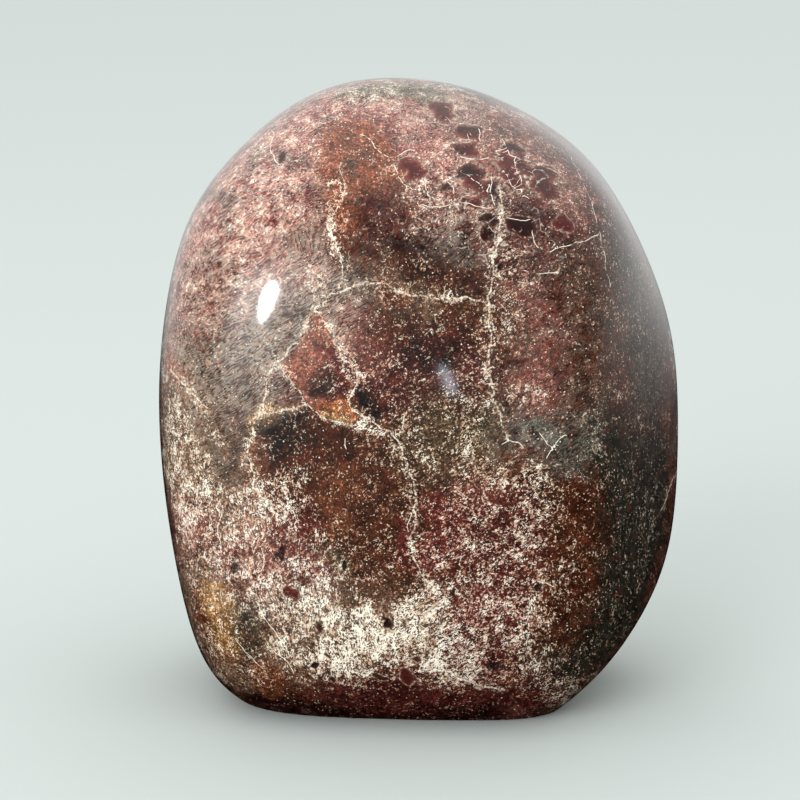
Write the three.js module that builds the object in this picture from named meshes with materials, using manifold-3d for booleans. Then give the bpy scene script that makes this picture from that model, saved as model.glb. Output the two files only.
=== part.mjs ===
// A garnet freeform: one lump of garnet-bearing rock, ground by hand to a tall dome with broad soft
// flats, polished all over, and cut flat underneath so that it stands. Millimetres, +Z up. The shown
// face looks towards -Y, and the origin is under the middle of the stone, on what it stands on.
import * as THREE from "three";
import { mergeVertices } from "three/addons/utils/BufferGeometryUtils.js";
import Module from "manifold-3d";

const wasm = await Module();
wasm.setup();

// The rounded lump, before its flats are ground, measured from its own middle.
const HALF_WIDTH = 56;
const HALF_DEPTH = 40;
const HALF_HEIGHT = 71.5;
const SQUARENESS = 2.6; // 2 is an ellipsoid, and more is boxier
const MIDDLE_ABOVE_BASE = 56; // the base is cut this far below the middle

// The flats: azimuth in degrees from the shown face round towards +X, tilt above the horizon, and
// the distance in millimetres from the middle to the wheel's plane.
const FLATS = {
  shown_face: { azimuth: -6, tilt: 3, distance: 34 },
  front_brow: { azimuth: -4, tilt: 40, distance: 55 },
  front_foot: { azimuth: -4, tilt: -50, distance: 59 },
  right_flank: { azimuth: 62, tilt: 2, distance: 49.5 },
  right_side: { azimuth: 88, tilt: 26, distance: 58 },
  right_crown: { azimuth: 86, tilt: 58, distance: 66.5 },
  right_foot: { azimuth: 84, tilt: -43, distance: 62.5 },
  left_side: { azimuth: -86, tilt: 10, distance: 56.5 },
  left_crown: { azimuth: -84, tilt: 50, distance: 68.5 },
  left_foot: { azimuth: -86, tilt: -9, distance: 54.5 },
  left_heel: { azimuth: -80, tilt: -62, distance: 71 },
  top: { azimuth: 30, tilt: 75, distance: 81.5 },
  back: { azimuth: 174, tilt: 4, distance: 37 },
  back_brow: { azimuth: 178, tilt: 40, distance: 57 },
  back_foot: { azimuth: 176, tilt: -48, distance: 60 },
  back_left: { azimuth: -128, tilt: 12, distance: 46 },
  back_right: { azimuth: 136, tilt: -4, distance: 47 },
};
const CRISPNESS = 17; // how tightly one flat turns into the next

// Small natural pits that the polish didn't reach: where they lie, seen from the middle, and the
// length, width and depth of each in millimetres. Turn is the long way, in degrees from level.
const PITS = [
  { azimuth: 24, tilt: -47.5, length: 2.4, width: 2.1, depth: 1.3, turn: 20 },
  { azimuth: 33, tilt: -29.5, length: 1.8, width: 1.3, depth: 0.8, turn: 60 },
  { azimuth: 25.5, tilt: 46.5, length: 1.5, width: 1.1, depth: 0.6, turn: 50 },
  { azimuth: -23, tilt: -29.5, length: 2.2, width: 0.9, depth: 0.7, turn: 80 },
  { azimuth: -49.5, tilt: -25, length: 2.4, width: 1.7, depth: 0.6, turn: 65 },
  { azimuth: -39.5, tilt: -24, length: 3.2, width: 1.1, depth: 0.6, turn: 75 },
  { azimuth: -9.5, tilt: -42.5, length: 1.9, width: 1.4, depth: 0.7, turn: 40 },
  { azimuth: -32, tilt: -47.5, length: 1.8, width: 1.3, depth: 0.6, turn: 10 },
  { azimuth: 152, tilt: 24, length: 2.6, width: 1.5, depth: 0.9, turn: 30 },
  { azimuth: -151, tilt: -18, length: 2, width: 1.6, depth: 0.8, turn: 120 },
  { azimuth: -166, tilt: -41, length: 3, width: 1.2, depth: 0.7, turn: 5 },
];

const SURFACE_DETAIL = 16; // 20 x 17 x 17 faces over the whole lump
const PIT_DETAIL = 1;

// The unit vector that points towards an azimuth and a tilt.
function towards({ azimuth, tilt }) {
  const round = THREE.MathUtils.degToRad(azimuth);
  const up = THREE.MathUtils.degToRad(tilt);
  return new THREE.Vector3(
    Math.sin(round) * Math.cos(up),
    -Math.cos(round) * Math.cos(up),
    Math.sin(up),
  );
}

const GROUND_FLATS = Object.values(FLATS).map((flat) => ({
  facing: towards(flat),
  distance: flat.distance,
}));

// How far the stone reaches from its middle in one direction: the rounded lump, worn back softly
// wherever a flat lies nearer.
function reach(direction) {
  const roundness =
    Math.abs(direction.x / HALF_WIDTH) ** SQUARENESS +
    Math.abs(direction.y / HALF_DEPTH) ** SQUARENESS +
    Math.abs(direction.z / HALF_HEIGHT) ** SQUARENESS;
  let nearness = roundness ** (CRISPNESS / SQUARENESS);
  for (const { facing, distance } of GROUND_FLATS) {
    nearness += Math.max(0, direction.dot(facing) / distance) ** CRISPNESS;
  }
  return nearness ** (-1 / CRISPNESS);
}

function surfacePoint(direction) {
  return direction.clone().multiplyScalar(reach(direction));
}

// The outward normal, from two small steps sideways over the surface.
function surfaceNormal(direction) {
  const step = 0.01;
  const level = new THREE.Vector3(0, 0, 1).cross(direction).normalize();
  const rise = direction.clone().cross(level);
  const here = surfacePoint(direction);
  const along = surfacePoint(direction.clone().addScaledVector(level, step).normalize());
  const above = surfacePoint(direction.clone().addScaledVector(rise, step).normalize());
  return along.sub(here).cross(above.sub(here)).normalize();
}

// A closed geometry as a solid that can be joined and cut.
function toSolid(geometry) {
  const bare = geometry.clone();
  bare.deleteAttribute("normal");
  bare.deleteAttribute("uv");
  const merged = mergeVertices(bare);
  return new wasm.Manifold(
    new wasm.Mesh({
      numProp: 3,
      vertProperties: merged.attributes.position.array,
      triVerts: new Uint32Array(merged.index.array),
    }),
  );
}

function toGeometry(solid) {
  const mesh = solid.getMesh();
  const geometry = new THREE.BufferGeometry();
  geometry.setAttribute("position", new THREE.BufferAttribute(mesh.vertProperties, 3));
  geometry.setIndex(new THREE.BufferAttribute(mesh.triVerts, 1));
  return geometry;
}

function groundLump() {
  const ball = new THREE.IcosahedronGeometry(1, SURFACE_DETAIL);
  const position = ball.attributes.position;
  const direction = new THREE.Vector3();
  for (let i = 0; i < position.count; i++) {
    direction.fromBufferAttribute(position, i).normalize();
    const point = surfacePoint(direction);
    position.setXYZ(i, point.x, point.y, point.z + MIDDLE_ABOVE_BASE);
  }
  return toSolid(ball);
}

// Everything below the saw cut.
function underTheCut() {
  const size = 4 * HALF_HEIGHT;
  return toSolid(new THREE.BoxGeometry(size, size, size).translate(0, 0, -size / 2));
}

function pit({ azimuth, tilt, length, width, depth, turn }) {
  const direction = towards({ azimuth, tilt });
  const outward = surfaceNormal(direction);
  const level = new THREE.Vector3(0, 0, 1).cross(outward).normalize();
  const rise = outward.clone().cross(level);
  const turned = THREE.MathUtils.degToRad(turn);
  const longWay = level.clone().multiplyScalar(Math.cos(turned)).addScaledVector(rise, Math.sin(turned));
  const shortWay = outward.clone().cross(longWay);
  const place = new THREE.Matrix4().makeBasis(longWay, shortWay, outward);
  const centre = surfacePoint(direction);
  place.setPosition(centre.x, centre.y, centre.z + MIDDLE_ABOVE_BASE);
  const hollow = new THREE.IcosahedronGeometry(1, PIT_DETAIL);
  hollow.scale(length / 2, width / 2, depth);
  return toSolid(hollow.applyMatrix4(place));
}

function stoneGeometry() {
  let stone = groundLump().subtract(underTheCut());
  for (const hollow of PITS.map(pit)) {
    stone = stone.subtract(hollow);
  }
  const geometry = toGeometry(stone);
  geometry.computeBoundingBox();
  const middle = geometry.boundingBox.getCenter(new THREE.Vector3());
  return geometry.translate(-middle.x, -middle.y, -geometry.boundingBox.min.z);
}

const polishedGarnet = new THREE.MeshStandardMaterial({
  color: 0x5e332d,
  roughness: 0.15,
  metalness: 0,
});

const stone = new THREE.Mesh(stoneGeometry(), polishedGarnet);
stone.name = "stone";

const freeform = new THREE.Group();
freeform.add(stone);

export default freeform;
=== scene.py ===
# %% [markdown]
# A garnet freeform is one lump of garnet-bearing rock, ground by hand to a soft standing shape, cut
# flat underneath and polished. The rock is wine red and brown, sown with cream flecks and crossed by
# pale veins. This lesson grinds the lump as one mesh, paints the rock with named strokes, adds the fine
# grain with noise, polishes it, and lights it in a small plain studio. Everything is in metres, +Z up.

# %% Load the frame
import math
import random

import bmesh
import bpy
import numpy as np
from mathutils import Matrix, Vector, noise
from mathutils.bvhtree import BVHTree


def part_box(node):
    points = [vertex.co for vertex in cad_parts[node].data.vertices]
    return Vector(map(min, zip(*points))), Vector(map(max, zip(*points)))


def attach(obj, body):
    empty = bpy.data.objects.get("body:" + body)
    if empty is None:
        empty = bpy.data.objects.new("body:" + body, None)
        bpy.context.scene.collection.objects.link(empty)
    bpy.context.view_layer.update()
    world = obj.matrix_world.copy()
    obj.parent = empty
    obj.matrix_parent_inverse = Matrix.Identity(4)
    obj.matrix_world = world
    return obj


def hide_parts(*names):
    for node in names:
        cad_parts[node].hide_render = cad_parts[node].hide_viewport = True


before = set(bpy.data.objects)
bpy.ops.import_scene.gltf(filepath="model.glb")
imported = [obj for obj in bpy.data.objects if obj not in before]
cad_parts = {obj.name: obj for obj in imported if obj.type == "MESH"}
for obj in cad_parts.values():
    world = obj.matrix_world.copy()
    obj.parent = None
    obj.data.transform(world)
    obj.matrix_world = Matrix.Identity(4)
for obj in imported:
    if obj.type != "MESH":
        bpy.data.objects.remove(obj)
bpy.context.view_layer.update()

MM = 0.001
stone_low, stone_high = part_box("stone")


def in_mm(vector):
    """A vector's numbers in millimetres, rounded for printing."""
    return [round(v / MM, 1) for v in vector]


print("the stone reaches from", in_mm(stone_low), "to", in_mm(stone_high))

# %% [markdown]
# The real form is a rounded lump worn back by the broad side of a grinding wheel. Its outline could be
# sculpted by hand, but a formula keeps every flat named and movable: a squarish ellipsoid gives the lump,
# and each flat is a plane that the surface bends softly towards where the plane lies nearer the middle.
# The azimuth of a flat runs from the shown face, which looks towards -Y, round towards +X.

# %% The lump and its flats
HALF_SIZE = np.array([56, 40, 71.5]) * MM
SQUARENESS = 2.6
CRISPNESS = 17
MIDDLE_ABOVE_BASE = 56 * MM
FLATS = {  # azimuth and tilt in degrees, and the distance from the middle in millimetres
    "shown_face": (-6, 3, 34),
    "front_brow": (-4, 40, 55),
    "front_foot": (-4, -50, 59),
    "right_flank": (62, 2, 49.5),
    "right_side": (88, 26, 58),
    "right_crown": (86, 58, 66.5),
    "right_foot": (84, -43, 62.5),
    "left_side": (-86, 10, 56.5),
    "left_crown": (-84, 50, 68.5),
    "left_foot": (-86, -9, 54.5),
    "left_heel": (-80, -62, 71),
    "top": (30, 75, 81.5),
    "back": (174, 4, 37),
    "back_brow": (178, 40, 57),
    "back_foot": (176, -48, 60),
    "back_left": (-128, 12, 46),
    "back_right": (136, -4, 47),
}


def towards(azimuth, tilt):
    """The unit vector that points towards an azimuth and a tilt, both in degrees."""
    around, up = math.radians(azimuth), math.radians(tilt)
    return np.array([math.sin(around) * math.cos(up), -math.cos(around) * math.cos(up), math.sin(up)])


def ground_surface(directions):
    """Where the ground lump's surface lies from its middle, in each of an array of directions."""
    directions = directions / np.linalg.norm(directions, axis=1, keepdims=True)
    roundness = (np.abs(directions / HALF_SIZE) ** SQUARENESS).sum(1)
    nearness = roundness ** (CRISPNESS / SQUARENESS)
    for azimuth, tilt, distance in FLATS.values():
        facing = directions @ towards(azimuth, tilt)
        nearness += np.clip(facing / (distance * MM), 0, None) ** CRISPNESS
    return directions * (nearness ** (-1 / CRISPNESS))[:, None]


print(len(FLATS), "flats")

# %% [markdown]
# The mesh starts as a plain block, cut into a grid and then swollen out to the ground surface. A ball
# would crowd its points at two poles, and a block doesn't. The side that shows is cut once more, so that
# painted edges are crisp there.

# %% A block cut into a grid
GRID_STEP = 1.2 * MM
SQUARELY_IN_FRONT = 0.9  # how far a face's normal points to the front on the side that shows


def cut_block():
    """A block of the lump's own proportions, gridded, with a finer shown side."""
    block = bmesh.new()
    bmesh.ops.create_cube(block, size=2)
    bmesh.ops.scale(block, vec=HALF_SIZE, verts=block.verts)
    for axis in range(3):
        along = [e for e in block.edges if abs(e.verts[0].co[axis] - e.verts[1].co[axis]) > GRID_STEP]
        cuts = round(2 * HALF_SIZE[axis] / GRID_STEP) - 1
        bmesh.ops.subdivide_edges(block, edges=along, cuts=cuts, use_grid_fill=True)
    shown = {e for f in block.faces if f.normal.y < -SQUARELY_IN_FRONT for e in f.edges}
    bmesh.ops.subdivide_edges(block, edges=list(shown), cuts=1, use_grid_fill=True)
    return block


lump = cut_block()
print("the block has", len(lump.faces), "squares")

# %% [markdown]
# The wheel stops before it reaches the bottom of the deepest natural pits, so a few of them stay. A pit of
# two millimetres needs more points than the smooth polish around it, and cutting the whole block that fine
# would make the mesh far too heavy. So only a patch of squares around each pit is cut finer.

# %% Finer patches for the pits
PITS = {  # azimuth, tilt, length, width, depth in millimetres, and turn of the long way from level
    "foot": (24, -47.5, 2.4, 2.1, 1.3, 20),
    "right_low": (33, -29.5, 1.8, 1.3, 0.8, 60),
    "vein": (25.5, 46.5, 1.5, 1.1, 0.6, 50),
    "middle_low": (-23, -29.5, 2.2, 0.9, 0.7, 80),
    "left_low": (-49.5, -25, 2.4, 1.7, 0.6, 65),
    "left_slit": (-39.5, -24, 3.2, 1.1, 0.6, 75),
    "foot_middle": (-9.5, -42.5, 1.9, 1.4, 0.7, 40),
    "foot_left": (-32, -47.5, 1.8, 1.3, 0.6, 10),
    "back_high": (152, 24, 2.6, 1.5, 0.9, 30),
    "back_middle": (-151, -18, 2, 1.6, 0.8, 120),
    "back_low": (-166, -41, 3, 1.2, 0.7, 5),
}
PIT_CUTS = {"shown": 3, "hidden": 6}  # extra cuts across a grid square
SHOWN_AZIMUTH = 60  # degrees to either side of the front
PATCH_SHARE, PATCH_MARGIN = 0.6, 0.5  # a patch reaches a share of the pit's length, and a margin more


def refine_pits(block):
    """Cuts the squares near each pit, judged by where they will lie once the block is swollen."""
    centres = ground_surface(np.array([towards(azimuth, tilt) for azimuth, tilt, *_ in PITS.values()]))
    for (azimuth, _, length, *_), centre in zip(PITS.values(), centres):
        block.faces.ensure_lookup_table()
        middles = ground_surface(np.array([f.calc_center_median() for f in block.faces]))
        reach = (PATCH_SHARE * length + PATCH_MARGIN) * MM
        near = np.linalg.norm(middles - centre, axis=1) < reach
        edges = {e for i in np.flatnonzero(near) for e in block.faces[i].edges}
        cuts = PIT_CUTS["shown" if abs(azimuth) < SHOWN_AZIMUTH else "hidden"]
        bmesh.ops.subdivide_edges(block, edges=list(edges), cuts=cuts, use_grid_fill=True)


refine_pits(lump)
print("with the pit patches it has", len(lump.faces))

# %% [markdown]
# Swelling is one sum for every point. The saw cut comes next: two slices leave a line of points where
# the cut and its small eased edge will be, and everything under the cut is then pressed up flat, so the
# underside keeps its even grid and can be painted like the rest. The edge is eased because a fresh saw
# cut is sharp, and the polisher takes that off.

# %% Swell the block, saw it flat and ease the edge
EASED_EDGE = 0.35 * MM
ON_THE_SLICE = MM / 100  # points this near to a slice count as on it


def place_points(mesh, places):
    for vertex, place in zip(mesh.verts, places):
        vertex.co = place


def slice_level(mesh, height):
    """Slices the mesh level at a height above the lump's middle, and returns the new points."""
    cut = bmesh.ops.bisect_plane(
        mesh,
        geom=mesh.verts[:] + mesh.edges[:] + mesh.faces[:],
        dist=ON_THE_SLICE,
        plane_co=(0, 0, height),
        plane_no=(0, 0, -1),
    )
    return [g for g in cut["geom_cut"] if isinstance(g, bmesh.types.BMVert)]


place_points(lump, ground_surface(np.array([v.co for v in lump.verts])))
shoulder = slice_level(lump, EASED_EDGE - MIDDLE_ABOVE_BASE)
rim = slice_level(lump, -MIDDLE_ABOVE_BASE)
for vertex in lump.verts:
    if vertex.co.z < -MIDDLE_ABOVE_BASE:
        vertex.co *= -MIDDLE_ABOVE_BASE / vertex.co.z
for vertex in rim:
    vertex.co.xy *= 1 - EASED_EDGE / vertex.co.xy.length
print("the saw cut has", len(rim), "points round it")

# %% [markdown]
# A pit is a hollow with a soft lip. Each one is an ellipse on the surface, and its points sink straight
# in, deepest in the middle. Cutting pits out with another shape would leave hard rims. How deep each point
# sank is kept, because the finish paints shade into the hollows and makes them dull.

# %% Sink the pits
PROBE = 0.5  # degrees to the side and up, to feel how the surface lies at a pit
PIT_WALL = 3 * MM  # points further in or out than this belong to another side of the stone
LIP = 1.15  # the lip runs out where the square of the distance in half widths reaches this
BOWL = 0.6  # a power below 1 makes the pit's walls steeper and its floor rounder


def sink_pits(mesh):
    """Sinks every pit, and returns how far each point went, as a share of its pit's depth."""
    places = np.array([v.co for v in mesh.verts])
    sunk = np.zeros(len(places))
    for azimuth, tilt, length, width, depth, turn in PITS.values():
        centre = ground_surface(towards(azimuth, tilt)[None])[0]
        probe = np.array([towards(azimuth + PROBE, tilt), towards(azimuth, tilt + PROBE)])
        level, rise = ground_surface(probe) - centre
        outward = np.cross(level, rise)
        outward /= np.linalg.norm(outward)
        level /= np.linalg.norm(level)
        rise = np.cross(outward, level)
        angle = math.radians(turn)
        offset = places - centre
        long_way = offset @ (level * math.cos(angle) + rise * math.sin(angle)) / (length / 2 * MM)
        short_way = offset @ (rise * math.cos(angle) - level * math.sin(angle)) / (width / 2 * MM)
        squared = long_way**2 + short_way**2
        squared[np.abs(offset @ outward) > PIT_WALL] = np.inf
        share = np.clip(LIP - squared, 0, 1) ** BOWL
        places -= outward * (share * depth * MM)[:, None]
        sunk = np.maximum(sunk, share)
    place_points(mesh, places)
    return sunk


pit_share = sink_pits(lump)
print(int((pit_share > 0.5).sum()), "points lie deep in a pit")

# %% [markdown]
# The lump becomes one object at the origin, with its place in its mesh, and stands for the solid of the
# same name. It is shaded smooth, apart from the sawn underside and its eased edge, which keep their
# corners. The lump was measured from its own middle, so it moves to where the frame's solid is.

# %% The stone's mesh
def added(name, data):
    """A new object of the scene, at the origin."""
    thing = bpy.data.objects.new(name, data)
    bpy.context.scene.collection.objects.link(thing)
    return thing


sharp_points = {v.index for v in shoulder + rim}
for face in lump.faces:
    face.smooth = face.calc_center_median().z > EASED_EDGE - MIDDLE_ABOVE_BASE - ON_THE_SLICE
for edge in lump.edges:
    edge.smooth = not all(v.index in sharp_points for v in edge.verts)
places = np.array([v.co for v in lump.verts])
lowest, highest = places.min(0), places.max(0)
shift = (np.array(stone_low) + np.array(stone_high)) / 2 - (lowest + highest) / 2
shift[2] = stone_low.z - lowest[2]
bmesh.ops.translate(lump, vec=shift, verts=lump.verts)
bmesh.ops.recalc_face_normals(lump, faces=lump.faces)
stone_mesh = bpy.data.meshes.new("stone_polished")
lump.to_mesh(stone_mesh)
surface = BVHTree.FromBMesh(lump)
lump.free()
stone = added("stone_polished", stone_mesh)
middle = Vector(shift)
stone_mesh.calc_loop_triangles()
print("the stone has", len(stone_mesh.loop_triangles), "triangles, and moved by", in_mm(shift))

# %% [markdown]
# The camera stands half a metre in front and a little above, looking slightly down. It is made before
# the painting, because the markings are placed by what it sees: a place in the 800 by 800 picture is
# followed along its ray to the surface, so every mark sits on the stone and holds from all sides.

# %% The camera and the way back from the picture to the stone
PICTURE = 800
CAMERA_ELEVATION = 13
CAMERA_DISTANCE = 520 * MM
LENS = 113.9
SENSOR = 36
AIM = middle + Vector((-3.42 * MM, 0, 60.76 * MM - MIDDLE_ABOVE_BASE))
eye = AIM + Vector(towards(0, CAMERA_ELEVATION)) * CAMERA_DISTANCE
look = -Vector(towards(0, CAMERA_ELEVATION))
right = look.cross(Vector((0, 0, 1))).normalized()
up = right.cross(look)


def ray(spot):
    """The direction in which the camera sees a spot of its picture."""
    pixel = SENSOR / LENS / PICTURE
    across, down = (spot[0] - PICTURE / 2) * pixel, (spot[1] - PICTURE / 2) * pixel
    return (look + right * across - up * down).normalized()


def touch(spot):
    """The stone's point and outward normal that the picture shows at a spot, or the nearest ones."""
    point, normal, _, _ = surface.ray_cast(eye, ray(spot))
    if point is None:
        point, normal, _, _ = surface.find_nearest(eye + ray(spot) * CAMERA_DISTANCE)
    return point, normal


camera = added("camera", bpy.data.cameras.new("camera"))
camera.location = eye
camera.rotation_euler = look.to_track_quat("-Z", "Y").to_euler()
camera.data.lens = LENS
camera.data.sensor_width = SENSOR
camera.data.clip_start = 10 * MM
camera.data.clip_end = 100
bpy.context.scene.camera = camera
print("the camera stands at", in_mm(camera.location))

# %% [markdown]
# Patches of colour, clouds of flecks and veins are all strokes: a route over the stone, a width and what
# the stroke lays down. How near each point of the mesh lies to a stroke is worked out once and kept as
# an attribute. The points are first stirred a little by noise, so no stroke has a drawn edge.

# %% Strokes over the stone
count = len(stone_mesh.vertices)


def per_point(name):
    """What the mesh keeps under a name, as three numbers for each point."""
    values = np.empty(count * 3, np.float32)
    stone_mesh.vertices.foreach_get(name, values)
    return values.reshape(-1, 3).astype(float)


points = per_point("co")
normals = per_point("normal")


def stirred(size, reach, seed):
    """The stone's points, each moved by noise of a grain size, as far as reach."""
    start = Vector((seed, 2 * seed, 3 * seed))
    moves = [noise.noise_vector(Vector(p) / size + start) for p in points]
    return points + np.array(moves) * reach


def on_stone(spots):
    """The points of the stone at the spots of the picture."""
    return np.array([touch(spot)[0] for spot in spots])


def nearest_on(route, places):
    """For each place: how far it is from a route, and how far to the left of it, seen from outside."""
    near = np.full(len(places), np.inf)
    beside = np.zeros(len(places))
    for start, end in zip(route[:-1], route[1:]):
        way = end - start
        share = np.clip((places - start) @ way / (way @ way), 0, 1)
        offset = places - start - share[:, None] * way
        distance = np.linalg.norm(offset, axis=1)
        closer = distance < near
        near[closer] = distance[closer]
        left = np.cross(normals[closer], way)
        left /= np.linalg.norm(left, axis=1, keepdims=True) + 1e-12
        beside[closer] = (offset[closer] * left).sum(1)
    return near, beside


def soft_step(distance, radius, softness):
    """1 inside a radius and 0 outside it, with an edge as wide as softness."""
    edge = np.clip((radius + softness / 2 - distance) / softness, 0, 1)
    return edge * edge * (3 - 2 * edge)


def covered(route, radius, softness, places):
    """How far a stroke covers each place, from 0 to 1, with its radius and softness in millimetres."""
    return soft_step(nearest_on(route, places)[0], radius * MM, softness * MM)


NOISE_SEED = 5  # without a seed Blender starts this noise from the clock, and each run differs
noise.seed_set(NOISE_SEED)
ragged = stirred(2.2 * MM, 1.1 * MM, 5) + stirred(7 * MM, 2.4 * MM, 9) - points


def loosened(share):
    """The points, moved a share of the way to their ragged places, for a stroke with a cleaner edge."""
    return ragged * share + points * (1 - share)


print("strokes are painted on", count, "points")

# %% [markdown]
# The rock's own colour comes in patches: dusty rose at the crown, rust and orange where iron has stained
# it, wine where garnet is thick, umber and near-black between. The colours are kept in one list, so that
# one change reaches every patch, fleck and grain of that colour.

# %% The colours of the rock
COLOURS = {
    "rose": "a85c54",
    "dusk": "8c4e43",
    "wine": "702824",
    "blood": "6a2119",
    "maroon": "602722",
    "night": "3c1a17",
    "umber": "5c2d15",
    "bark": "80604a",
    "rust": "84482a",
    "russet": "a65c3e",
    "ember": "b86e58",
    "orange": "bd6e3c",
    "ochre": "b98850",
    "olive": "5e4b34",
    "moss": "39352a",
    "soot": "261513",
    "slate": "8c8a7c",
    "ash": "6a5a50",
    "tan": "c8a78a",
    "cream": "fff9e8",
    "bone": "eed8c0",
}


def linear(code):
    """A colour code as the linear red, green and blue that Blender reckons with."""
    parts = [int(code[i : i + 2], 16) / 255 for i in (0, 2, 4)]
    return np.array([p / 12.92 if p <= 0.04045 else ((p + 0.055) / 1.055) ** 2.4 for p in parts])


PAINT = {name: linear(code) for name, code in COLOURS.items()}
print(len(PAINT), "colours")

# %% [markdown]
# The sides that nobody photographs have to look as real as the shown one. So the whole stone first gets a
# cloudy ground: three colours run into maroon where slow noise is low, and rose comes in towards the
# crown. Painting every side by hand would take as long again for each, and noise costs a line.

# %% The cloudy ground
CLOUD_NOISE = (0.8, 2.1, 4)  # roughness, how much finer each layer is, and layers
GROUND_CLOUDS = [  # colour, size in millimetres, seed, reach, softness and strength
    ("umber", 16, 3, 0.42, 0.3, 1),
    ("dusk", 20, 11, 0.38, 0.25, 0.8),
    ("rust", 13, 23, 0.3, 0.2, 0.7),
]
CROWN_STARTS, CROWN_FULL = 84, 114  # heights in millimetres


def clouded(size, seed, reach, softness):
    """1 where noise with clouds of a size in millimetres stays under a reach, and 0 above it, softly."""
    start = Vector((seed, -seed, 2 * seed))
    values = [noise.fractal(Vector(p) / (size * MM) + start, *CLOUD_NOISE) for p in points]
    return soft_step(np.clip(0.5 + 0.75 * np.array(values), 0, 1), reach, softness)


def blend(first, second, share):
    return first + (second - first) * share[:, None]


ground = np.tile(PAINT["maroon"], (count, 1))
for name, size, seed, reach, softness, strength in GROUND_CLOUDS:
    ground = blend(ground, PAINT[name], clouded(size, seed, reach, softness) * strength)
crown = np.clip((points[:, 2] / MM - CROWN_STARTS) / (CROWN_FULL - CROWN_STARTS), 0, 1)
ground = blend(ground, PAINT["rose"], crown * clouded(18, 31, 0.62, 0.4))
print("the ground's mean colour is", np.round(ground.mean(0), 3))
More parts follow.
